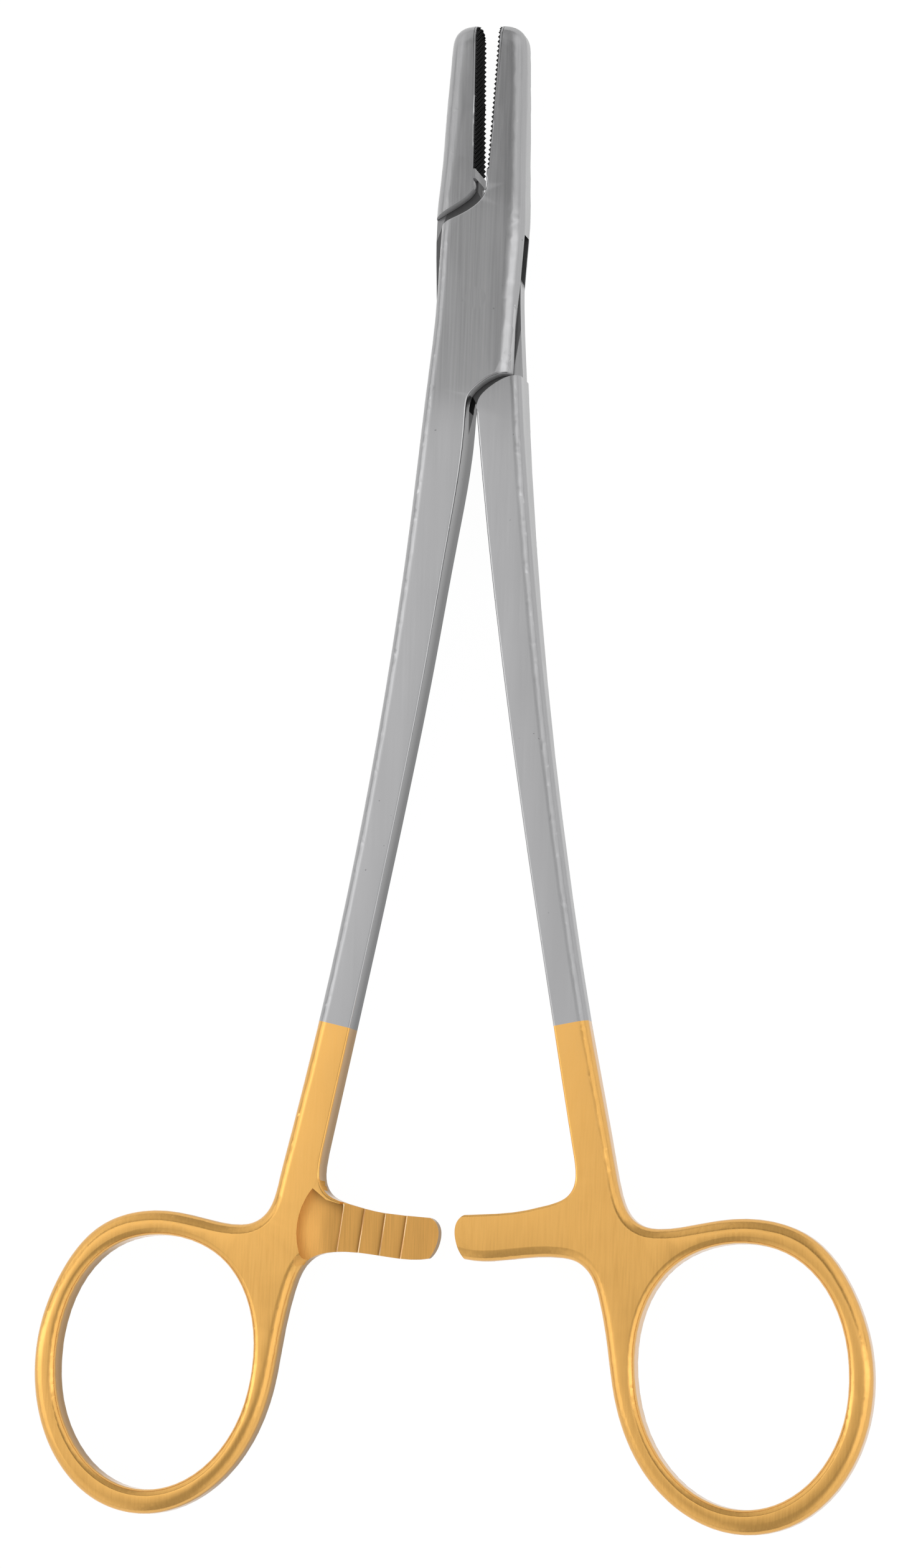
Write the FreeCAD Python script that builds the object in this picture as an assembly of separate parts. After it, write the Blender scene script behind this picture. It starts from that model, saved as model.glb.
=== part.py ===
import FreeCAD, Part
import math
import os

V = FreeCAD.Vector

# Wire twisting forceps, in millimetres. The instrument lies flat, +Z up, on the underside of its box lock.
# The origin is on the pin's axis at the underside, and +Y points to the jaws.
# Each half is drawn with u to the side of its own shank and y along the instrument, then turned to rest.

# Angles at rest, in degrees about the pin, box half clockwise and tongue half counter-clockwise
shank_rest_angle = 2.43
box_jaw_rest_angle = 2.71
tongue_jaw_rest_angle = 1.67

# Box lock
lock_thickness = 6.2
lock_half_width = 4.55
tongue_wider = 0.17
lock_flat_reach = 10.0
slot_height = 2.4
tongue_face_clearance = 0.04
slot_end_inner = 12.5
slot_end_slant = 4.8
slot_end_clearance = 0.25
tongue_side_end = 2.0
cheek_corner_short = 1.8
cheek_throat = 13.5
cheek_crotch = 10.8
cheek_rise = 2.9
crotch_depth = 1.1
jaw_shoulder_gap = 1.0
shank_shoulder_gap = 0.7
jaw_root = 14.0

# Pin
pin_radius = 1.2
pin_running_clearance = 0.03

# Jaws
jaw_length = 31.15
jaw_root_width = 4.15
jaw_tip_width = 3.1
nose_round = 2.3
nose_thickness = 4.4
nose_overhang = 0.05
jaw_tip_thickness = 5.1

# Hard metal inserts
insert_length = 16.6
insert_thickness = 0.5
insert_relief = 0.1

# Shanks, their middle line, width and thickness at four distances from the pin
shank_root = 14.0
shank_upper = 36.0
shank_lower = 60.0
shank_end = 94.0
shank_root_offset = 2.6
shank_upper_offset = 4.2
shank_lower_offset = 6.84
shank_end_offset = 11.88
shank_root_width = 4.95
shank_upper_width = 4.4
shank_lower_width = 3.88
shank_end_width = 4.15
shank_upper_thickness = 4.7
shank_lower_thickness = 4.2
ring_thickness = 3.9

# Finger rings, their middles measured from the end of the shank's middle line
ring_hole_width = 22.06
ring_hole_height = 28.15
ring_drop = 24.37
ring_reach = 15.1
ring_side_wall = 2.38
tongue_ring_wider = 0.99
tongue_ring_taller = 0.58
tongue_ring_higher = 0.44
tongue_ring_further = 0.72
tongue_ring_thicker = 0.17
ring_end_wall = 2.68
ring_rise = 0.3
ring_turn = 6.0
hole_turn = 3.4
hole_top_flat = 0.5
hole_top_squareness = 2.22
web_dip = 2.05
web_flat = 1.1
web_start = 4.0
web_reach = 5.05
limb_corner_reach = 5.6
limb_corner_drop = 9.3

# Ratchet arms, their upper edge measured from the end of the shank
arm_reach = 3.15
arm_drop = 6.85
tongue_arm_higher = 0.33
arm_lower_drop = 11.25
arm_tip_width = 2.0
arm_corner_reach = 5.8
arm_corner_rise = 2.65
tooth_count = 4
tooth_pitch = 2.38
tooth_first = 0.6
tooth_crest = 0.1
tooth_foot = 0.45
tooth_slant = 4.4
recess_past_shank = 0.17
recess_round = 7.6
recess_radius = 4.4
recess_brow = 4.3

# Rounded rims
jaw_rim_share = 0.78
shank_rim = 1.15
hole_rim = 0.75
inner_rim = 0.25
cheek_rim = 0.2
same_line = 0.001

middle = lock_thickness / 2
jaw_rim = jaw_rim_share * nose_round
cheek_corner = lock_flat_reach - cheek_corner_short
above = lock_thickness + 1
arm_lower_edge = shank_end + arm_lower_drop
recess_reach = shank_end_offset + recess_past_shank
BOX = -1
TONGUE = 1
far = 3 * shank_end


def half_width(side):
    return lock_half_width + (0 if side == BOX else tongue_wider)


def arm_upper_edge(side):
    return shank_end + arm_drop - (0 if side == BOX else tongue_arm_higher)


# A point of a half's plan, turned about the pin to its place at rest
def place(side, u, y, angle=None):
    if angle is None:
        angle = shank_rest_angle
    turn = math.radians(side * angle)
    x = side * u
    return V(x * math.cos(turn) - y * math.sin(turn), x * math.sin(turn) + y * math.cos(turn), 0)


def jaw_place(side, u, y):
    return place(side, u, y, box_jaw_rest_angle if side == BOX else tongue_jaw_rest_angle)


def curve(points):
    line = Part.BSplineCurve()
    line.interpolate(points)
    return line.toShape()


# A curve that leaves along its first two poles and arrives along its last two
def swept_line(poles):
    line = Part.BezierCurve()
    line.setPoles(poles)
    return line.toShape()


def chain(edges):
    return Part.Wire(Part.__sortEdges__(edges))


def outline(points):
    return Part.makePolygon(points + [points[0]])


def plate(wires, low, high):
    face = Part.makeFace(wires, "Part::FaceMakerBullseye")
    face.translate(V(0, 0, low))
    return face.extrude(V(0, 0, high - low))


# A smooth value through the four places where a shank is dimensioned
def along_shank(y, values):
    places = (shank_root, shank_upper, shank_lower, shank_end)
    total = 0
    for i, value in enumerate(values):
        weight = 1
        for j, other in enumerate(places):
            if j != i:
                weight *= (y - other) / (places[i] - other)
        total += weight * value
    return total


def shank_edge(y, outer):
    centre = along_shank(y, (shank_root_offset, shank_upper_offset, shank_lower_offset, shank_end_offset))
    width = along_shank(y, (shank_root_width, shank_upper_width, shank_lower_width, shank_end_width))
    return centre + outer * width / 2


def shank_stations(start, count):
    return [start + (shank_end - start) * i / count for i in range(count + 1)]


# Sizes of one finger ring: middle, half axes of the hole and half axes of the outer edge
def ring_sizes(side):
    width, height, wall = ring_hole_width, ring_hole_height, ring_side_wall
    u, y = shank_end_offset + ring_reach, -shank_end - ring_drop
    if side == TONGUE:
        width += tongue_ring_wider
        height += tongue_ring_taller
        wall += tongue_ring_thicker
        u += tongue_ring_further
        y += tongue_ring_higher
    outer_height = height / 2 + ring_end_wall + ring_rise
    return (u, y), (width / 2, height / 2), (width / 2 + wall, outer_height)


def ring_point(side, half_axes, rise, degrees):
    (u, y), _, _ = ring_sizes(side)
    a = math.radians(degrees)
    t = math.radians(ring_turn)
    p = half_axes[0] * math.cos(a)
    q = half_axes[1] * math.sin(a)
    return place(side, u + p * math.cos(t) - q * math.sin(t), y + rise + p * math.sin(t) + q * math.cos(t))


# The hole is an ellipse below and flatter and squarer above, like the web that it touches
def ring_hole(side):
    (u, y), (half_width, half_height), _ = ring_sizes(side)
    t = math.radians(hole_turn)
    points = []
    for degrees in range(0, 360, 20):
        a = math.radians(degrees)
        above = degrees < 180
        power = 2 / (hole_top_squareness if above else 2.0)
        p = math.copysign(half_width * abs(math.cos(a)) ** power, math.cos(a))
        q = (half_height - hole_top_flat if above else -half_height) * abs(math.sin(a)) ** power
        across, along = p * math.cos(t) - q * math.sin(t), p * math.sin(t) + q * math.cos(t)
        points.append(place(side, u + across, y + along))
    line = Part.BSplineCurve()
    line.interpolate(Points=points, PeriodicFlag=True)
    return Part.Wire([line.toShape()])


# The long outer edge of a half: lock side, shank, web, round the ring and along the arm to its tip
def outer_points(side, first):
    (ring_u, ring_y), _, outer_axes = ring_sizes(side)
    top = ring_y + ring_rise + outer_axes[1]
    points = [place(side, half_width(side), y) for y in first]
    points.append(place(side, 0.5 * (half_width(side) + shank_edge(shank_root, 1)), -0.62 * shank_root))
    for y in shank_stations(shank_root, 6):
        points.append(place(side, shank_edge(y, 1), -y))
    end = shank_edge(shank_end, 1)
    dip = end + web_reach
    points.append(place(side, end + 0.14 * web_reach, -shank_end - web_start))
    points.append(place(side, end + 0.41 * web_reach, top - 0.43 * web_dip))
    points.append(place(side, end + 0.66 * web_reach, top - 0.85 * web_dip))
    points.append(place(side, dip, top - web_dip))
    points.append(place(side, 0.5 * (dip + ring_u), top - 0.5 * (web_dip + web_flat)))
    points.append(place(side, ring_u, top - web_flat))
    for degrees in (50, 25, 0, -25, -50, -75, -100, -125, -150, -175):
        points.append(ring_point(side, outer_axes, ring_rise, degrees))
    limb = ring_u - outer_axes[0]
    for reach, drop in ((0.09, 1), (0.24, 0.47), (0.39, 0.215), (0.64, 0.06), (1, 0), (1.7, 0)):
        y = -arm_lower_edge - drop * limb_corner_drop
        points.append(place(side, limb - reach * limb_corner_reach, y))
    points.append(arm_tip_low(side))
    return points


# The inner edge of a half: back along the arm, round its corner and up the shank to the crotch
def inner_points(side, crotch):
    corner = shank_edge(shank_end, -1)
    edge = -arm_upper_edge(side)
    points = [arm_tip_high(side), place(side, 0.5 * arm_reach, edge + 0.03 * arm_corner_rise)]
    for reach, rise in ((1, 0.11), (0.66, 0.25), (0.31, 0.45), (0.14, 0.64), (0.01, 1)):
        points.append(place(side, corner - reach * arm_corner_reach, edge + rise * arm_corner_rise))
    points.append(place(side, corner + 0.04 * arm_corner_reach, -shank_end - 0.5 * web_start))
    for y in reversed(shank_stations(shank_root, 6)):
        points.append(place(side, shank_edge(y, -1), -y))
    return points + crotch


# The jaw's outer edge from the lock to the nose
def jaw_points(side):
    taper = jaw_root_width - jaw_tip_width
    length = jaw_length - jaw_root
    points = [jaw_place(side, -half_width(side), lock_flat_reach - 1)]
    points.append(jaw_place(side, -jaw_root_width, jaw_root + 1))
    points.append(jaw_place(side, -jaw_root_width + 0.4 * taper, jaw_root + 0.43 * length))
    points.append(jaw_place(side, -jaw_root_width + 0.82 * taper, jaw_root + 0.75 * length))
    for degrees in (0, 30, 60, 90):
        a = math.radians(degrees)
        u = -jaw_tip_width + nose_round * (1 - math.cos(a))
        points.append(jaw_place(side, u, jaw_length - nose_round * (1 - math.sin(a))))
    return points + [jaw_place(side, 0, jaw_length)]


def arm_tip_low(side):
    return place(side, 0.4 * arm_tip_width - arm_reach, -arm_lower_edge)


def arm_tip_high(side):
    return place(side, 0.5 * arm_tip_width - arm_reach, -arm_upper_edge(side))


def arm_tip(side):
    step = place(side, -arm_reach, -arm_lower_edge + arm_tip_width)
    rise = place(side, -arm_reach + 0.1 * arm_tip_width, -arm_upper_edge(side) - 0.35 * arm_tip_width)
    corners = [arm_tip_low(side), step, rise, arm_tip_high(side)]
    return [curve(corners)]


# The ends of the cheeks, from their corners in to the throat and the crotch, in the box half's u and y
def cheek_upper():
    run = ((1, 0), (0.6, 0.36), (0.28, 0.67), (0.065, 1))
    return [(u * lock_half_width, cheek_corner + y * cheek_rise) for u, y in run]


def cheek_lower():
    run = ((1, 0), (0.64, 0.1), (0.3, 0.46), (0.11, 0.79))
    return [(-u * lock_half_width, -cheek_corner - y * (cheek_crotch - cheek_corner)) for u, y in run]


# The jaw face leans away from the closing line by the relief, so that the noses meet first
def face_u(y):
    return -insert_relief * (jaw_length - y) / (jaw_length - cheek_throat)


# Plan of the box half, with both cheeks, by its named runs
def box_plan():
    side = BOX
    lower = [place(side, u, y) for u, y in cheek_lower()]
    upper = [place(side, u, y) for u, y in cheek_upper()]
    jaw = [lower[0]] + [place(side, -lock_half_width, y) for y in (-3.0, 3.0)] + jaw_points(side)
    crotch = [place(side, 0.1, -cheek_crotch - crotch_depth), place(side, -0.12, -cheek_crotch)]
    crotch += lower[::-1]
    outer = outer_points(side, (cheek_corner, 3.0, -3.0))
    throat = jaw_place(side, face_u(cheek_throat), cheek_throat)
    runs = {"jaw": [curve(jaw)], "inner": [curve(inner_points(side, crotch))], "outer": [curve(outer)]}
    runs["cheek"] = [curve(upper + [throat])]
    runs["plain"] = arm_tip(side) + [Part.makeLine(throat, jaw[-1])]
    return runs


# Plan of the tongue half, with the tongue as its waist
def tongue_plan():
    side = TONGUE
    waist = slot_end_inner - slot_end_clearance
    jaw = [place(side, -half_width(side), y) for y in (-tongue_side_end, tongue_side_end)]
    jaw += jaw_points(side)
    crotch = place(side, 0.0, -waist)
    outer = outer_points(side, (tongue_side_end, -3.0))
    throat = jaw_place(side, face_u(waist), waist)
    runs = {"jaw": [curve(jaw)], "inner": [curve(inner_points(side, [crotch]))], "outer": [curve(outer)]}
    runs["plain"] = arm_tip(side) + [Part.makeLine(jaw[0], crotch), Part.makeLine(outer[0], throat)]
    runs["plain"].append(Part.makeLine(throat, jaw[-1]))
    return runs


# The side view that both halves share: flat over the lock, thinner to the nose and to the rings
def side_profile():
    lock, thin = lock_thickness / 2, ring_thickness / 2
    tip, blunt = jaw_tip_thickness / 2, nose_thickness / 2
    bend = jaw_length - nose_round
    end = jaw_length + nose_overhang
    back = -2 * shank_end
    run = bend - lock_flat_reach
    swell = 0.12 * (lock - tip)
    lean = swell / (0.5 * run)
    nose = [(end, blunt), (end - 0.2 * nose_round, tip - 0.8 * nose_round * lean), (bend, tip)]
    jaw = [(bend, tip), (bend - 0.5 * run, tip + swell), (lock_flat_reach + 0.35 * run, lock)]
    jaw.append((lock_flat_reach, lock))
    tail = [(-lock_flat_reach, lock), (-lock_flat_reach - 0.1 * shank_end, lock)]
    tail += [(-0.28 * shank_end, shank_upper_thickness / 2), (-0.47 * shank_end, shank_lower_thickness / 2)]
    tail += [(-0.7 * shank_end, thin), (-shank_end, thin)]
    edges = []
    for sign in (1, -1):
        for poles in (nose, jaw, tail):
            edges.append(swept_line([V(0, y, middle + sign * h) for y, h in poles]))
        for first, last, h in ((lock_flat_reach, -lock_flat_reach, lock), (-shank_end, back, thin)):
            edges.append(Part.makeLine(V(0, first, middle + sign * h), V(0, last, middle + sign * h)))
    for y, h in ((end, blunt), (back, thin)):
        edges.append(Part.makeLine(V(0, y, middle - h), V(0, y, middle + h)))
    face = Part.Face(chain(edges))
    face.translate(V(-far, 0, 0))
    return face.extrude(V(2 * far, 0, 0))


# Rounds the upper and lower rims that follow one run of the plan
def round_rims(solid, run, radius):
    rims = []
    for edge in solid.Edges:
        box = edge.BoundBox
        if box.ZLength > 0.6 * max(box.XLength, box.YLength):
            continue
        span = edge.LastParameter - edge.FirstParameter
        spots = [edge.valueAt(edge.FirstParameter + part * span) for part in (0.3, 0.6)]
        flat = [Part.Vertex(V(p.x, p.y, 0)) for p in spots]
        if all(min(line.distToShape(v)[0] for line in run) < same_line for v in flat):
            rims.append(edge)
    return solid.makeFillet(radius, rims)


# A forging before its lock is cut
def blank(side, runs):
    edge = chain([line for run in runs.values() for line in run])
    hole = ring_hole(side)
    solid = plate([edge, hole], -1, above).common(side_profile())
    solid = round_rims(solid, runs["outer"], shank_rim)
    solid = round_rims(solid, hole.Edges, hole_rim)
    solid = round_rims(solid, runs["jaw"], jaw_rim)
    return round_rims(solid, runs["inner"], inner_rim)


# The open space between the cheeks, through to both sides, with a slanted wall at each end
def slot():
    slope = slot_end_slant / lock_half_width
    reach = 2 * lock_half_width
    corners = [(-reach, slot_end_inner - slope * reach), (reach, slot_end_inner + slope * reach)]
    corners += [(reach, -slot_end_inner + slope * reach), (-reach, -slot_end_inner - slope * reach)]
    wire = outline([place(BOX, u, y) for u, y in corners])
    return plate([wire], middle - slot_height / 2, middle + slot_height / 2)


# What the cheeks take from the tongue half: all but the tongue, out to shoulders that clear the cheeks
def cheek_room(low, high):
    def grown(points, gap):
        moved = []
        for u, y in points:
            scale = 1 + gap / math.hypot(u, y)
            moved.append(place(TONGUE, -u * scale, y * scale))
        return moved

    upper = grown(cheek_upper(), jaw_shoulder_gap) + [place(TONGUE, -0.15, cheek_throat)]
    lower = grown(cheek_lower(), shank_shoulder_gap) + [place(TONGUE, 0.1, -cheek_crotch - crotch_depth)]
    side = 2 * lock_half_width
    right = [upper[-1], place(TONGUE, side, cheek_throat + 1), place(TONGUE, side, -cheek_corner), lower[0]]
    left = [lower[-1], place(TONGUE, -0.3, -shank_root), place(TONGUE, -side, -shank_root)]
    left += [place(TONGUE, -side, cheek_corner), upper[0]]
    edges = [curve(upper), curve(lower)]
    for run in (right, left):
        edges += [Part.makeLine(run[i], run[i + 1]) for i in range(len(run) - 1)]
    return plate([chain(edges)], low, high)


def tooth_u(number):
    return tooth_first + (tooth_count - number) * tooth_pitch


# What the ratchet's upper side leaves out: a row of ramps and risers and a dished run up to the shank
def ratchet_room(side):
    crest = middle + tooth_crest
    foot = middle - tooth_foot
    arm_middle = 0.5 * (arm_upper_edge(side) + arm_lower_edge)
    lean = math.tan(math.radians(tooth_slant))
    start, end = arm_middle - arm_lower_drop, arm_middle + arm_lower_drop

    def at(u, y, z):
        p = place(side, u + (y - arm_middle) * lean, -y)
        return V(p.x, p.y, z if side == BOX else 2 * middle - z)

    line = [(tooth_u(1), above), (tooth_u(1), crest)]
    for number in range(2, tooth_count + 1):
        line += [(tooth_u(number), foot), (tooth_u(number), crest)]
    line += [(tooth_u(tooth_count + 1), foot), (-arm_reach - 2, foot), (-arm_reach - 2, above)]
    teeth = Part.Face(outline([at(u, start, z) for u, z in line])).extrude(at(0, end, 0) - at(0, start, 0))

    drop = ring_thickness / 2 + tooth_foot
    flat = recess_round - math.sqrt(2 * recess_radius * drop - drop * drop)
    rim = flat + math.sqrt(recess_radius ** 2 - (recess_radius - drop - 0.5) ** 2)
    halfway = (flat + recess_radius * 0.5, foot + recess_radius * (1 - math.sqrt(0.75)))
    turn = [(0, foot), (flat, foot), halfway, (rim, foot + drop + 0.5), (0, foot + drop + 0.5)]
    turn = [V(r, 0, z) for r, z in turn]
    edges = [Part.makeLine(turn[0], turn[1]), Part.Arc(turn[1], turn[2], turn[3]).toShape()]
    edges += [Part.makeLine(turn[3], turn[4]), Part.makeLine(turn[4], turn[0])]
    bowl = Part.Face(Part.Wire(edges)).revolve(V(0, 0, 0), V(0, 0, 1), 360)
    bowl.translate(place(side, recess_reach - recess_round, -arm_middle))
    first = tooth_u(1)
    brow = shank_end + recess_brow
    area = [(first, end), (first, brow + 1.8), (first + 1.3, brow + 1.45), (recess_reach - 1, brow)]
    area += [(recess_reach + 3, brow - 2), (recess_reach + 3, end)]
    points = [place(side, u + (y - arm_middle) * lean, -y) for u, y in area[:2]]
    points += [place(side, u, -y) for u, y in area[2:]]
    if side == TONGUE:
        bowl = bowl.mirror(V(0, 0, middle), V(0, 0, 1))
    return teeth.fuse(bowl.common(plate([outline(points)], -1, above)))


# The seat of a jaw's hard metal plate. The plate is what the seat takes away, so both are ground flush
def insert_seat(side):
    low, high = jaw_length - insert_length, jaw_length + 1
    back, front = -insert_thickness, insert_thickness
    corners = [(front, high), (back, high), (back, low), (front, low)]
    return plate([outline([jaw_place(side, u, y) for u, y in corners])], -1, above)


def pivot(radius):
    return Part.makeCylinder(radius, lock_thickness)


def box_half(solid):
    for room in (slot(), insert_seat(BOX), ratchet_room(BOX), pivot(pin_radius)):
        solid = solid.cut(room)
    return solid


def tongue_half(solid):
    face = slot_height / 2 - tongue_face_clearance
    rooms = [cheek_room(middle + face, above), cheek_room(-1, middle - face)]
    rooms += [insert_seat(TONGUE), ratchet_room(TONGUE), pivot(pin_radius + pin_running_clearance)]
    for room in rooms:
        solid = solid.cut(room)
    return solid


box_runs = box_plan()
box_blank = round_rims(blank(BOX, box_runs), box_runs["cheek"], cheek_rim)
tongue_blank = blank(TONGUE, tongue_plan())
nodes = {
    "box_half": box_half(box_blank),
    "tongue_half": tongue_half(tongue_blank),
    "pivot_pin": pivot(pin_radius),
    "box_jaw_insert": box_blank.common(insert_seat(BOX)),
    "tongue_jaw_insert": tongue_blank.common(insert_seat(TONGUE)),
}

os.makedirs("parts", exist_ok=True)
for name, shape in nodes.items():
    solid = shape.Solids[0] if len(shape.Solids) == 1 else shape
    solid.exportStep("parts/" + name + ".step")
    print(name, solid.isValid(), len(solid.Solids), round(solid.Volume, 1))
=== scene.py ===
import math

import bmesh
import bpy
from mathutils import Matrix, Vector


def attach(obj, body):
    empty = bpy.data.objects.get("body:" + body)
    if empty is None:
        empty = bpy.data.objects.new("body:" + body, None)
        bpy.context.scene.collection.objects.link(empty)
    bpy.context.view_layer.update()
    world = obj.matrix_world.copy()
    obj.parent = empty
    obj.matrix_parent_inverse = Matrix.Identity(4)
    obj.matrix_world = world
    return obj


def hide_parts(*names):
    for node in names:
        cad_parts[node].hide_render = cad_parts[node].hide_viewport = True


# Wire twisting forceps lying flat, in metres, in the frame of the solids: pin axis at the origin,
# jaws towards +Y, rings towards -Y, thickness along +Z.

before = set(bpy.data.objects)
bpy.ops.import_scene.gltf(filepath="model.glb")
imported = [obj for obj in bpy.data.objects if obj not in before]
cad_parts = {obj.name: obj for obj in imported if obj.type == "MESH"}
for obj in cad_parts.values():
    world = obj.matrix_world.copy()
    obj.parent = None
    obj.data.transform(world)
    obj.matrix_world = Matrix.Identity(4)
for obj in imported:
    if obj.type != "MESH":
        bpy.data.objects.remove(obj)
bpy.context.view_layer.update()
MM = 0.001

# Points closer than this are one point, and edges shorter than this are no edge
SAME_POINT = 0.0005 * MM
NO_EDGE = 0.0002 * MM

# Camera of the photograph
LOOK_AT = Vector((-0.883, -53.482, 3.1)) * MM
CAMERA_DISTANCE = 600 * MM
LEAN_RIGHT = math.radians(12.0)
LEAN_FRONT = math.radians(7.0)
ROLL = math.radians(2.02)
LENS = 126.0
SENSOR = 36.0
NEAREST_SEEN = 0.01
FURTHEST_SEEN = 20

# Lock and jaw sizes that the finish follows
THICKNESS = 6.2 * MM
JAW_LENGTH = 31.15 * MM
INSERT_LENGTH = 16.6 * MM
INSERT_THICKNESS = 0.5 * MM
INSERT_HALF_HEIGHT = 2.54 * MM
ROOT_HALF_HEIGHT = 3.02 * MM
NOSE_HALF_HEIGHT = 0.74 * MM
NOSE_ROUNDING = 1.8 * MM
ROOT_GROWTH = 1.6
FACE_RELIEF = 0.094 * MM
TOOTH_LENGTH = 0.54 * MM
TOOTH_ROW = 1.2 * MM
TOOTH_DEPTH = 0.24 * MM
BRAZE_LINE = 0.07 * MM
BOX_JAW_TURN = math.radians(-2.71)
TONGUE_JAW_TURN = math.radians(1.67)
SHANK_TURN = math.radians(2.43)

# Gilded handles: a point on each plating line and the direction along the shank there
BOX_PLATING_LINE = Vector((-12.67, -80.29, 0)) * MM
TONGUE_PLATING_LINE = Vector((13.49, -79.46, 0)) * MM
BOX_SHANK_WAY = Vector((0.2145, 0.9767, 0))
TONGUE_SHANK_WAY = Vector((-0.1995, 0.9799, 0))

# Ground part of each ratchet arm: teeth and dished run, in the half's own u and y
RATCHET_START = -4 * MM
RATCHET_REACH = 12.2 * MM
RATCHET_TOP = -97.6 * MM
RATCHET_FOOT = -107.0 * MM
RATCHET_BELOW_MIDDLE = 0.5 * MM
RING_HALF_THICKNESS = 1.95 * MM
RING_FACE_MARGIN = 0.02 * MM
TOOTH_EDGE = 0.16 * MM

# Inside of the box lock, painted dark as shade: its reach from the pin and how far the painted lit lip turns
# in
LOCK_REACH = 13.7 * MM
LOCK_SIDE = 4.3 * MM
LOCK_FLANK = 10.3 * MM
LOCK_ROOM_HALF_HEIGHT = 1.3 * MM
PAINTED_LIT_LIP = 1.75 * MM
PAINTED_LIT_LIP_BLEND = (-0.12 * MM, 0.06 * MM)

# How far a face's direction leans along an axis: upright walls, sloped walls and end walls of the lock,
# the worked faces and side walls of a ratchet arm, and the crests that run along the arm's width
UPRIGHT = 0.5
SLOPED_WALL = 0.35
END_WALL = 0.75
WORKED_FACE = 0.15
ARM_SIDE_WALL = 0.8
CREST_WAY = 0.9

# Angles in degrees above which an edge shades as a crease, or is broken by a fine flat
FORGING_CREASE = 32
INSERT_CREASE = 30
BROKEN_CREASE = 35

# Room mirrored in the metal: brightness by the Y of the mirrored direction, from and to these values
ROOM_RANGE = (-0.1, 0.4)
ROOM_STEPS = ((0.0, 0.52), (0.12, 0.66), (0.27, 0.8), (0.42, 1.36),
              (0.48, 1.24), (0.58, 0.33), (0.72, 0.28), (1.0, 0.56))

# Brighter sides of the room: where each starts and is full along X, and how bright it is
LEFT_GLOW = (0.1, 0.32, 0.3)
LEFT_WING = (0.32, 0.62, 0.36)
RIGHT_WING = (0.15, 0.7, 0.56)
HORIZON_TOP = 0.3
HORIZON_SHARE = 0.88

# Floor: what the camera sees, and the painted glow that the metal mirrors of it, with painted shade close by
# and brighter further off
FLOOR_TONE = 0.5
FLOOR_GLOW = 1.08
FLOOR_GLOW_SHARE = 0.9
FLOOR_DROP = 0.1 * MM
FLOOR_HALF_SIZE = 2.5
PAINTED_FLOOR_SHADE = 0.42
PAINTED_FLOOR_GLOW_RIGHT = 0.85
PAINTED_FLOOR_GLOW_OUTER = 1.05
PAINTED_SHADE_REACH = (3 * MM, 10 * MM)

# Soft panels: name, place, size and power
PANELS = (("right_panel", (0.75, -0.1, 0.55), 0.7, 0.35), ("left_panel", (-0.8, 0.0, 0.6), 0.7, 0.5))

# Gilding: the tint of its mirrored light at a low angle, and the clear polish over it
GOLD_EDGE = (0.95, 0.75, 0.45)
POLISH_IOR = 1.6

# Every metal: size of its soft clouds, size and share of its specks, and how much darker specks
# and the painted shade in deep corners are than the metal
CLOUD_SIZES = (9 * MM, 14 * MM, 9 * MM)
SPECK_SIZES = (0.5 * MM, 0.5 * MM, 0.5 * MM)
SPECK_RANGE = (0.79, 0.82)
SPECK_DEPTH = 0.6
SPECK_SHADE = 0.4
PAINTED_CORNER_SHADE_RANGE = (0.4, 0.92)
PAINTED_CORNER_SHADE_TONE = 0.3

STEEL, GOLD, GROUND_GOLD, LOCK_PAINTED_SHADE, PAINTED_CREST_HIGHLIGHT = 0, 1, 2, 3, 4


def photograph_camera():
    toward = Vector((math.tan(LEAN_RIGHT), -math.tan(LEAN_FRONT), 1)).normalized()
    up = Vector((0, 1, 0))
    up = (up - toward * up.dot(toward)).normalized()
    right = up.cross(toward)
    picture_up = up * math.cos(ROLL) - right * math.sin(ROLL)
    picture_right = right * math.cos(ROLL) + up * math.sin(ROLL)
    data = bpy.data.cameras.new("photograph_camera")
    data.lens = LENS
    data.sensor_width = SENSOR
    data.clip_start = NEAREST_SEEN
    data.clip_end = FURTHEST_SEEN
    camera = bpy.data.objects.new("photograph_camera", data)
    bpy.context.scene.collection.objects.link(camera)
    turn = Matrix((picture_right, picture_up, toward)).transposed().to_4x4()
    camera.matrix_world = Matrix.Translation(LOOK_AT + toward * CAMERA_DISTANCE) @ turn
    bpy.context.scene.camera = camera


def add_node(tree, kind, inputs=None, **settings):
    node = tree.nodes.new(kind)
    for name, value in settings.items():
        setattr(node, name, value)
    for name, value in (inputs or {}).items():
        if isinstance(value, bpy.types.NodeSocket):
            tree.links.new(value, node.inputs[name])
        else:
            node.inputs[name].default_value = value
    return node


def maths(tree, operation, first, second=0.0):
    return add_node(tree, "ShaderNodeMath", {0: first, 1: second}, operation=operation).outputs[0]


def split(tree, vector):
    return add_node(tree, "ShaderNodeSeparateXYZ", {"Vector": vector}).outputs


def object_place(tree):
    return add_node(tree, "ShaderNodeTexCoord").outputs["Object"]


def new_material(name):
    material = bpy.data.materials.new(name)
    material.use_nodes = True
    tree = material.node_tree
    tree.nodes.clear()
    return material, tree


def stretched_noise(tree, sizes, detail=2.0):
    """Noise whose grains have these sizes in metres along x, y and z."""
    scale = tuple(1 / size for size in sizes)
    spread = add_node(tree, "ShaderNodeMapping", {"Vector": object_place(tree), "Scale": scale})
    noise = add_node(tree, "ShaderNodeTexNoise",
                     {"Vector": spread.outputs["Vector"], "Scale": 1.0, "Detail": detail})
    return noise.outputs["Fac"]


def ranged(tree, value, low, high, start=0.3, stop=0.7, **settings):
    limits = {"Value": value, "From Min": start, "From Max": stop, "To Min": low, "To Max": high}
    return add_node(tree, "ShaderNodeMapRange", limits, **settings).outputs["Result"]


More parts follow.
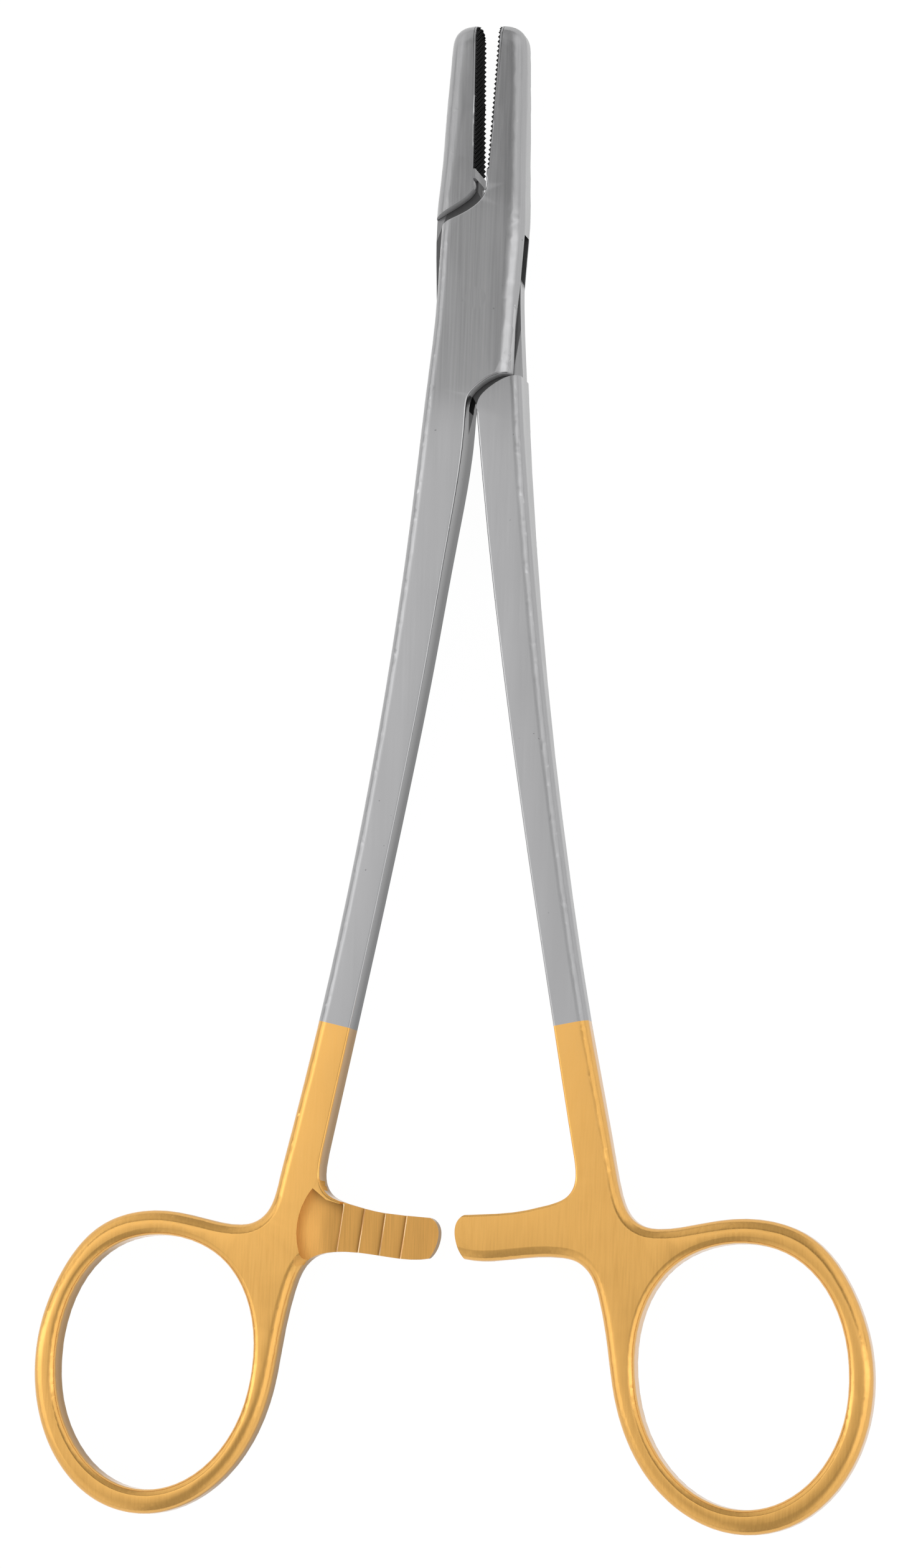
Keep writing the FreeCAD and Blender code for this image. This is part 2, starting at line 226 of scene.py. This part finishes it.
def blended(tree, share, first, second):
    mix = add_node(tree, "ShaderNodeMix", data_type="RGBA")
    for index, value in ((0, share), (6, first), (7, second)):
        if isinstance(value, bpy.types.NodeSocket):
            tree.links.new(value, mix.inputs[index])
        else:
            mix.inputs[index].default_value = value
    return mix.outputs[2]


def bumped(tree, height, distance, normal=None):
    inputs = {"Strength": 1.0, "Distance": distance, "Height": height}
    if normal:
        inputs["Normal"] = normal
    return add_node(tree, "ShaderNodeBump", inputs).outputs["Normal"]


def shaded(colour, share):
    return tuple(part * share for part in colour) + (1,)


def metal(name, dark, light, rough, lines, line_depth, waves=0.0, swells=(5 * MM, 8 * MM, 5 * MM),
          specks=False, edge=(1, 1, 1), sheen=0.0, painted_corner_shade=(0.0, 0.0)):
    """A worked metal: two tones in fine lines and soft clouds, roughness and bump from the same lines."""
    material, tree = new_material(name)
    grain = stretched_noise(tree, lines)
    clouds = stretched_noise(tree, CLOUD_SIZES)
    tone = blended(tree, ranged(tree, grain, 0.0, 1.0), (*dark, 1), (*light, 1))
    tone = blended(tree, ranged(tree, clouds, 0.0, 0.5), tone, (*light, 1))
    if specks:
        dots = stretched_noise(tree, SPECK_SIZES, detail=1.0)
        speck = ranged(tree, dots, 0.0, SPECK_DEPTH, *SPECK_RANGE)
        tone = blended(tree, speck, tone, shaded(dark, SPECK_SHADE))
    # Painted shade: where ambient occlusion finds a deep corner, the colour is pulled towards a darker tone
    # of the metal.
    reach, depth = painted_corner_shade
    if depth:
        around = add_node(tree, "ShaderNodeAmbientOcclusion", {"Distance": reach}, samples=8)
        corner_painted_shade = ranged(tree, around.outputs["AO"], depth, 0.0, *PAINTED_CORNER_SHADE_RANGE)
        tone = blended(tree, corner_painted_shade, tone, shaded(dark, PAINTED_CORNER_SHADE_TONE))
    normal = bumped(tree, grain, line_depth)
    if waves:
        normal = bumped(tree, stretched_noise(tree, swells, detail=1.0), waves, normal)
    shader = add_node(tree, "ShaderNodeBsdfPrincipled", {
        "Base Color": tone, "Metallic": 1.0, "Roughness": ranged(tree, grain, rough[0], rough[1]),
        "Specular Tint": (*edge, 1), "Coat Weight": sheen, "Coat Roughness": rough[0],
        "Coat IOR": POLISH_IOR, "Normal": normal})
    add_node(tree, "ShaderNodeOutputMaterial", {"Surface": shader.outputs["BSDF"]})
    return material


def joined_skin(node):
    """The node's loose triangles as one joined skin."""
    skin = bmesh.new()
    skin.from_mesh(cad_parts[node].data)
    bmesh.ops.remove_doubles(skin, verts=skin.verts, dist=SAME_POINT)
    bmesh.ops.dissolve_degenerate(skin, edges=skin.edges, dist=NO_EDGE)
    return skin


def plain_object(name, skin, materials):
    mesh = bpy.data.meshes.new(name)
    skin.to_mesh(mesh)
    skin.free()
    for attribute in [a.name for a in mesh.attributes if a.name == "custom_normal"]:
        mesh.attributes.remove(mesh.attributes[attribute])
    for material in materials:
        mesh.materials.append(material)
    piece = bpy.data.objects.new(name, mesh)
    bpy.context.scene.collection.objects.link(piece)
    return piece


def soften(skin, crease):
    for face in skin.faces:
        face.smooth = True
    for edge in skin.edges:
        edge.smooth = len(edge.link_faces) == 2 and edge.calc_face_angle(0) < math.radians(crease)


def inside_lock(place, normal):
    """True on the walls of the lock that its halves turn past each other on."""
    upright = abs(normal.z) < UPRIGHT
    within_sides = abs(place.x) < LOCK_SIDE
    deep = abs(place.z - THICKNESS / 2) < LOCK_ROOM_HALF_HEIGHT and within_sides
    flank = within_sides and (abs(place.y) < LOCK_FLANK or abs(normal.y) > SLOPED_WALL)
    wall = upright and (flank or abs(normal.y) > END_WALL)
    return abs(place.y) < LOCK_REACH and (wall or deep)


def on_ratchet(own, normal, side):
    """True on the teeth and on the dished run up to the shank, in a half turned back to its own axes."""
    u, height = side * own.x, -side * (own.z - THICKNESS / 2)
    in_arm = RATCHET_START < u < RATCHET_REACH and RATCHET_FOOT < own.y < RATCHET_TOP
    cut_away = -RATCHET_BELOW_MIDDLE < height < RING_HALF_THICKNESS - RING_FACE_MARGIN
    worked = -side * normal.z > WORKED_FACE or abs(normal.x) > ARM_SIDE_WALL
    return in_arm and cut_away and worked


def is_tooth_crest(edge):
    ground = [face.material_index == GROUND_GOLD for face in edge.link_faces] == [True, True]
    across = abs((edge.verts[1].co - edge.verts[0].co).normalized().y) > CREST_WAY
    return ground and across and edge.is_convex and edge.calc_face_angle(0) > math.radians(BROKEN_CREASE)


def forging(node, name, body, side, line, way, materials):
    """A forged half: steel to the plating line, gilded beyond it, with a ground ratchet."""
    skin = joined_skin(node)
    parts = skin.verts[:] + skin.edges[:] + skin.faces[:]
    bmesh.ops.bisect_plane(skin, geom=parts, plane_co=line, plane_no=way, dist=1e-8)
    skin.normal_update()
    back = Matrix.Rotation(-side * SHANK_TURN, 3, "Z")
    for face in skin.faces:
        centre = face.calc_center_median()
        if (centre - line).dot(way) > 0:
            # Faces inside the lock take the steel with painted light and shade.
            face.material_index = LOCK_PAINTED_SHADE if inside_lock(centre, face.normal) else STEEL
        else:
            ground = on_ratchet(back @ centre, face.normal, side)
            face.material_index = GROUND_GOLD if ground else GOLD
    soften(skin, FORGING_CREASE)
    crests = skin.edges.layers.float.new("bevel_weight_edge")
    for edge in skin.edges:
        if is_tooth_crest(edge):
            edge[crests] = 1.0
    piece = plain_object(name, skin, materials)
    broken = piece.modifiers.new("broken_edges", "BEVEL")
    broken.limit_method = "WEIGHT"
    broken.width = TOOTH_EDGE
    broken.segments = 1
    broken.use_clamp_overlap = False
    # The fine flats take the crest gold with the painted highlight.
    broken.material = PAINTED_CREST_HIGHLIGHT
    weights = piece.modifiers.new("even_faces", "WEIGHTED_NORMAL")
    weights.keep_sharp = True
    weights.weight = 80
    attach(piece, body)
    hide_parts(node)


def serration_tree():
    """Rows of four sided cut teeth over a face, cut off at its borders, with the plate that carries them."""
    tree = bpy.data.node_groups.new("cut_serrations", "GeometryNodeTree")
    face = tree.interface
    face.new_socket("Plate", in_out="INPUT", socket_type="NodeSocketGeometry")
    for name in ("Length", "Half height", "Root half height", "Nose half height", "Nose rounding",
                 "Tooth length", "Tooth row", "Depth"):
        face.new_socket(name, in_out="INPUT", socket_type="NodeSocketFloat")
    face.new_socket("Place", in_out="INPUT", socket_type="NodeSocketVector")
    face.new_socket("Turn", in_out="INPUT", socket_type="NodeSocketRotation")
    face.new_socket("Finish", in_out="INPUT", socket_type="NodeSocketMaterial")
    face.new_socket("Insert", in_out="OUTPUT", socket_type="NodeSocketGeometry")
    given = add_node(tree, "NodeGroupInput").outputs

    def plus(first, second):
        return maths(tree, "ADD", first, second)

    def minus(first, second):
        return maths(tree, "SUBTRACT", first, second)

    def times(first, second):
        return maths(tree, "MULTIPLY", first, second)

    def over(first, second):
        return maths(tree, "DIVIDE", first, second)

    def kept_within(value, limit):
        return maths(tree, "MAXIMUM", maths(tree, "MINIMUM", value, limit), times(limit, -1.0))

    height = times(given["Root half height"], 2.0)
    columns = maths(tree, "ROUND", over(given["Length"], given["Tooth length"]))
    rows = maths(tree, "ROUND", over(height, given["Tooth row"]))
    step = over(given["Length"], columns)
    rise = over(height, rows)

    def lattice(fewer):
        grid = add_node(tree, "GeometryNodeMeshGrid", {
            "Size X": minus(given["Length"], times(step, fewer)),
            "Size Y": minus(height, times(rise, fewer)),
            "Vertices X": minus(plus(columns, 1.0), fewer),
            "Vertices Y": minus(plus(rows, 1.0), fewer)})
        return grid.outputs["Mesh"]

    both = add_node(tree, "GeometryNodeJoinGeometry")
    for fewer in (0.0, 1.0):
        tree.links.new(lattice(fewer), both.inputs["Geometry"])
    tooth = add_node(tree, "GeometryNodeMeshCone",
                     {"Vertices": 4, "Radius Top": 0.0, "Radius Bottom": 1.0, "Depth": 1.0},
                     fill_type="NGON")
    size = add_node(tree, "ShaderNodeCombineXYZ",
                    {"X": times(step, 0.5), "Y": times(rise, 0.5), "Z": given["Depth"]})
    spread = add_node(tree, "GeometryNodeInstanceOnPoints", {"Points": both.outputs["Geometry"],
                      "Instance": tooth.outputs["Mesh"], "Scale": size.outputs["Vector"]})
    real = add_node(tree, "GeometryNodeRealizeInstances", {"Geometry": spread.outputs["Instances"]})

    # The face is full high at its root, a little lower along its length and rounded off at the nose.
    spot = split(tree, add_node(tree, "GeometryNodeInputPosition").outputs["Position"])
    half = times(given["Length"], 0.5)
    along = kept_within(spot["X"], half)
    back = minus(half, along)
    lean = minus(1.0, maths(tree, "MINIMUM", over(back, given["Nose rounding"]), 1.0))
    bulge = maths(tree, "SQRT", minus(1.0, times(lean, lean)))
    growth = maths(tree, "POWER", over(back, given["Length"]), ROOT_GROWTH)
    root_swell = times(minus(given["Root half height"], given["Half height"]), growth)
    body = plus(given["Half height"], root_swell)
    nose_swell = times(minus(given["Half height"], given["Nose half height"]), bulge)
    edge = plus(plus(given["Nose half height"], nose_swell), root_swell)
    row = times(spot["Y"], over(body, given["Root half height"]))
    cut = add_node(tree, "ShaderNodeCombineXYZ",
                   {"X": along, "Y": kept_within(row, edge), "Z": spot["Z"]})
    trimmed = add_node(tree, "GeometryNodeSetPosition", {"Geometry": real.outputs["Geometry"],
                                                         "Position": cut.outputs["Vector"]})
    merged = add_node(tree, "GeometryNodeMergeByDistance", {"Geometry": trimmed.outputs["Geometry"],
                                                            "Distance": SAME_POINT})
    placed = add_node(tree, "GeometryNodeTransform", {"Geometry": merged.outputs["Geometry"],
                      "Translation": given["Place"], "Rotation": given["Turn"]})
    coated = add_node(tree, "GeometryNodeSetMaterial", {"Geometry": placed.outputs["Geometry"],
                                                        "Material": given["Finish"]})
    whole = add_node(tree, "GeometryNodeJoinGeometry")
    tree.links.new(coated.outputs["Geometry"], whole.inputs["Geometry"])
    tree.links.new(given["Plate"], whole.inputs["Geometry"])
    add_node(tree, "NodeGroupOutput", {"Insert": whole.outputs["Geometry"]})
    return tree


def ground_insert(name, outward, level):
    """Ground hard metal with the dark brazed joint along its back."""
    material, tree = new_material(name)
    across = add_node(tree, "ShaderNodeVectorMath", {0: object_place(tree), 1: outward},
                      operation="DOT_PRODUCT").outputs["Value"]
    back = level - INSERT_THICKNESS
    joint = ranged(tree, across, 1.0, 0.0, back + 0.6 * BRAZE_LINE, back + BRAZE_LINE)
    grain = stretched_noise(tree, (0.1 * MM, 4 * MM, 0.1 * MM))
    tone = blended(tree, ranged(tree, grain, 0.0, 1.0), (0.34, 0.34, 0.345, 1), (0.38, 0.38, 0.385, 1))
    tone = blended(tree, joint, tone, (0.03, 0.03, 0.03, 1))
    shader = add_node(tree, "ShaderNodeBsdfPrincipled", {"Base Color": tone, "Metallic": 1.0,
                                                         "Roughness": 0.28})
    add_node(tree, "ShaderNodeOutputMaterial", {"Surface": shader.outputs["BSDF"]})
    return material


def lock_steel_painted_shade(name):
    """Steel inside the lock: painted light at the lips, painted dark and dull further in as shade."""
    material, tree = new_material(name)
    # Painted light and shade: light grey near the top and bottom faces, dark towards the middle of the
    # thickness.
    lift = maths(tree, "SUBTRACT", split(tree, object_place(tree))["Z"], THICKNESS / 2)
    away = maths(tree, "ABSOLUTE", lift)
    lip = THICKNESS / 2 - PAINTED_LIT_LIP
    ground = ranged(tree, away, 0.0, 1.0, lip + PAINTED_LIT_LIP_BLEND[0], lip + PAINTED_LIT_LIP_BLEND[1])
    tone = blended(tree, ground, (0.13, 0.13, 0.132, 1), (0.5, 0.5, 0.505, 1))
    shader = add_node(tree, "ShaderNodeBsdfPrincipled", {
        "Base Color": tone, "Roughness": 0.4, "Metallic": ranged(tree, ground, 0.7, 0.15, 0.0, 1.0)})
    add_node(tree, "ShaderNodeOutputMaterial", {"Surface": shader.outputs["BSDF"]})
    return material


def serrated_insert(node, name, body, tree, turn, inward, cut):
    """The insert plate with its face sunk by one tooth and the cut teeth standing back up to the face."""
    spin = Matrix.Rotation(turn, 3, "Z")
    tip = spin @ Vector((0, JAW_LENGTH, 0))
    root = spin @ Vector((-inward * FACE_RELIEF, JAW_LENGTH - INSERT_LENGTH, 0))
    along = (tip - root).normalized()
    outward = (along.cross(Vector((0, 0, 1)))) * inward
    skin = joined_skin(node)
    for vert in skin.verts:
        if abs((vert.co - tip).dot(outward)) < 0.005 * MM:
            vert.co -= outward * TOOTH_DEPTH
    soften(skin, INSERT_CREASE)
    ground = ground_insert(name + "_ground", outward, tip.dot(outward))
    plate = plain_object(name + "_plate", skin, [ground, cut])
    turned = Matrix((along, outward.cross(along), outward)).transposed()
    middle = (tip + root) / 2 + Vector((0, 0, THICKNESS / 2)) - outward * TOOTH_DEPTH
    modifier = plate.modifiers.new("cut_serrations", "NODES")
    modifier.node_group = tree
    sizes = {"Length": (tip - root).length, "Half height": INSERT_HALF_HEIGHT,
             "Root half height": ROOT_HALF_HEIGHT, "Nose half height": NOSE_HALF_HEIGHT,
             "Nose rounding": NOSE_ROUNDING, "Tooth length": TOOTH_LENGTH, "Tooth row": TOOTH_ROW,
             "Depth": TOOTH_DEPTH, "Place": middle, "Turn": turned.to_euler(), "Finish": cut}
    for item in tree.interface.items_tree:
        if item.in_out == "INPUT" and item.name in sizes:
            modifier[item.identifier] = sizes[item.name]
    bpy.context.view_layer.update()
    solved = plate.evaluated_get(bpy.context.evaluated_depsgraph_get())
    mesh = bpy.data.meshes.new_from_object(solved)
    mesh.name = name
    bpy.data.objects.remove(plate)
    piece = bpy.data.objects.new(name, mesh)
    bpy.context.scene.collection.objects.link(piece)
    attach(piece, body)
    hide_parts(node)


def surroundings():
    """A white backdrop for the camera, and a room of soft brightness for the metal to mirror."""
    world = bpy.data.worlds.new("studio")
    bpy.context.scene.world = world
    world.use_nodes = True
    tree = world.node_tree
    tree.nodes.clear()
    way = split(tree, add_node(tree, "ShaderNodeTexCoord").outputs["Generated"])

    def side(value, start, stop, low, high):
        return ranged(tree, value, low, high, start, stop, interpolation_type="SMOOTHSTEP")

    height = ranged(tree, way["Y"], 0.0, 1.0, *ROOM_RANGE)
    ceiling = add_node(tree, "ShaderNodeValToRGB", {"Fac": height})
    ramp = ceiling.color_ramp
    ramp.interpolation = "EASE"
    while len(ramp.elements) < len(ROOM_STEPS):
        ramp.elements.new(0.5)
    for element, (spot, level) in zip(ramp.elements, ROOM_STEPS):
        element.position = spot
        element.color = (level, level, level, 1)
    leftward = maths(tree, "MULTIPLY", way["X"], -1.0)
    glow = side(leftward, LEFT_GLOW[0], LEFT_GLOW[1], 0.0, LEFT_GLOW[2])
    right = side(way["X"], RIGHT_WING[0], RIGHT_WING[1], 0.0, RIGHT_WING[2])
    wing = side(leftward, LEFT_WING[0], LEFT_WING[1], 0.0, LEFT_WING[2])
    left = maths(tree, "MULTIPLY", wing, ceiling.outputs["Color"])
    horizon = side(way["Z"], 0.0, HORIZON_TOP, HORIZON_SHARE, 1.0)
    sides = maths(tree, "ADD", maths(tree, "ADD", glow, right), left)
    level = maths(tree, "MULTIPLY", maths(tree, "ADD", ceiling.outputs["Color"], sides), horizon)
    room = add_node(tree, "ShaderNodeBackground", {"Strength": level, "Color": (1, 1, 1, 1)})
    backdrop = add_node(tree, "ShaderNodeBackground", {"Strength": 1.0, "Color": (1, 1, 1, 1)})
    seen = add_node(tree, "ShaderNodeLightPath").outputs["Is Camera Ray"]
    both = add_node(tree, "ShaderNodeMixShader", {0: seen, 1: room.outputs[0], 2: backdrop.outputs[0]})
    add_node(tree, "ShaderNodeOutputWorld", {"Surface": both.outputs[0]})


def pale_floor():
    """A near white sheet for the camera; to the metal that mirrors it, a glowing sheet with painted shade
    that makes it darker close by the object.
    """
    material, tree = new_material("pale_floor")
    board = add_node(tree, "ShaderNodeBsdfDiffuse", {"Color": (FLOOR_TONE, FLOOR_TONE, FLOOR_TONE, 1)})
    path = add_node(tree, "ShaderNodeLightPath").outputs
    surface = add_node(tree, "ShaderNodeNewGeometry").outputs
    # Painted glow and shade: for other rays the floor glows, dimmer for short rays close by the object,
    # brighter towards +X and by the X of the incoming direction.
    spot = split(tree, surface["Position"])["X"]
    came = split(tree, surface["Incoming"])["X"]
    near = maths(tree, "MAXIMUM", ranged(tree, spot, PAINTED_FLOOR_SHADE, PAINTED_FLOOR_GLOW_RIGHT, 0.0, 5 * MM),
                 ranged(tree, came, PAINTED_FLOOR_SHADE, PAINTED_FLOOR_GLOW_OUTER, 0.0, 0.3))
    painted_floor_glow = ranged(tree, path["Ray Length"], near, 1.0, *PAINTED_SHADE_REACH)
    mirrored = add_node(tree, "ShaderNodeEmission", {"Color": (1, 1, 1, 1), "Strength": painted_floor_glow})
    white = add_node(tree, "ShaderNodeEmission", {"Color": (1, 1, 1, 1), "Strength": FLOOR_GLOW})
    veil = add_node(tree, "ShaderNodeMixShader",
                    {0: FLOOR_GLOW_SHARE, 1: board.outputs[0], 2: white.outputs[0]})
    both = add_node(tree, "ShaderNodeMixShader",
                    {0: path["Is Camera Ray"], 1: mirrored.outputs[0], 2: veil.outputs[0]})
    add_node(tree, "ShaderNodeOutputMaterial", {"Surface": both.outputs[0]})
    sheet = bmesh.new()
    bmesh.ops.create_grid(sheet, x_segments=1, y_segments=1, size=FLOOR_HALF_SIZE)
    for vert in sheet.verts:
        vert.co.z = -FLOOR_DROP
    floor = plain_object("pale_floor", sheet, [material])


def soft_panels():
    for name, place, size, power in PANELS:
        lamp = bpy.data.lights.new(name, "AREA")
        lamp.shape = "SQUARE"
        lamp.size = size
        lamp.energy = power
        panel = bpy.data.objects.new(name, lamp)
        bpy.context.scene.collection.objects.link(panel)
        panel.location = place
        panel.rotation_euler = Vector(place).to_track_quat("Z", "Y").to_euler()


photograph_camera()
bpy.context.scene.view_settings.view_transform = "Standard"
surroundings()
pale_floor()
soft_panels()

satin_steel = metal("satin_steel", (0.37, 0.37, 0.375), (0.405, 0.405, 0.41), (0.19, 0.24),
                    (0.24 * MM, 16 * MM, 0.24 * MM), 0.0005 * MM, waves=0.036 * MM,
                    swells=(3 * MM, 26 * MM, 3 * MM), specks=True)
pin_steel = metal("pin_steel", (0.37, 0.37, 0.375), (0.4, 0.4, 0.405), (0.2, 0.25),
                  (0.07 * MM, 7 * MM, 0.07 * MM), 0.0005 * MM)
polished_gold = metal("polished_gold", (0.7, 0.356, 0.057), (0.78, 0.41, 0.077), (0.16, 0.22),
                      (0.2 * MM, 4 * MM, 0.2 * MM), 0.0004 * MM, waves=0.024 * MM,
                      edge=GOLD_EDGE, sheen=1.0)
ground_gold = metal("ground_gold", (0.67, 0.36, 0.1), (0.81, 0.445, 0.128), (0.44, 0.54),
                    (0.1 * MM, 5 * MM, 5 * MM), 0.002 * MM, edge=GOLD_EDGE, painted_corner_shade=(1.4 * MM, 0.7))
# Painted shade: the cut teeth are near black, far darker than the same hard metal on the ground plate, for
# the shade between the serrations.
hard_metal_painted_shade = metal("hard_metal_painted_shade", (0.012, 0.012, 0.0125), (0.03, 0.03, 0.031), (0.34, 0.46),
                       (0.05 * MM, 0.2 * MM, 0.05 * MM), 0.001 * MM, edge=(0.55, 0.55, 0.55))
# Painted highlight: the fine flats on the tooth crests are a pale, bright gold that stands for the glint
# along each crest.
crest_painted_highlight = metal("crest_painted_highlight", (0.98, 0.74, 0.42), (1.0, 0.8, 0.5), (0.5, 0.6),
                     (0.1 * MM, 5 * MM, 5 * MM), 0.0004 * MM, edge=GOLD_EDGE, sheen=1.0)

finishes = [satin_steel, polished_gold, ground_gold, lock_steel_painted_shade("lock_steel_painted_shade"), crest_painted_highlight]
forging("box_half", "box_half_forging", "box_body", -1, BOX_PLATING_LINE, BOX_SHANK_WAY, finishes)
forging("tongue_half", "tongue_half_forging", "tongue_body", 1,
        TONGUE_PLATING_LINE, TONGUE_SHANK_WAY, finishes)

teeth = serration_tree()
serrated_insert("box_jaw_insert", "box_jaw_insert_serrated", "box_body", teeth,
                BOX_JAW_TURN, -1, hard_metal_painted_shade)
serrated_insert("tongue_jaw_insert", "tongue_jaw_insert_serrated", "tongue_body", teeth,
                TONGUE_JAW_TURN, 1, hard_metal_painted_shade)

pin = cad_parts["pivot_pin"]
pin.data.materials.clear()
pin.data.materials.append(pin_steel)
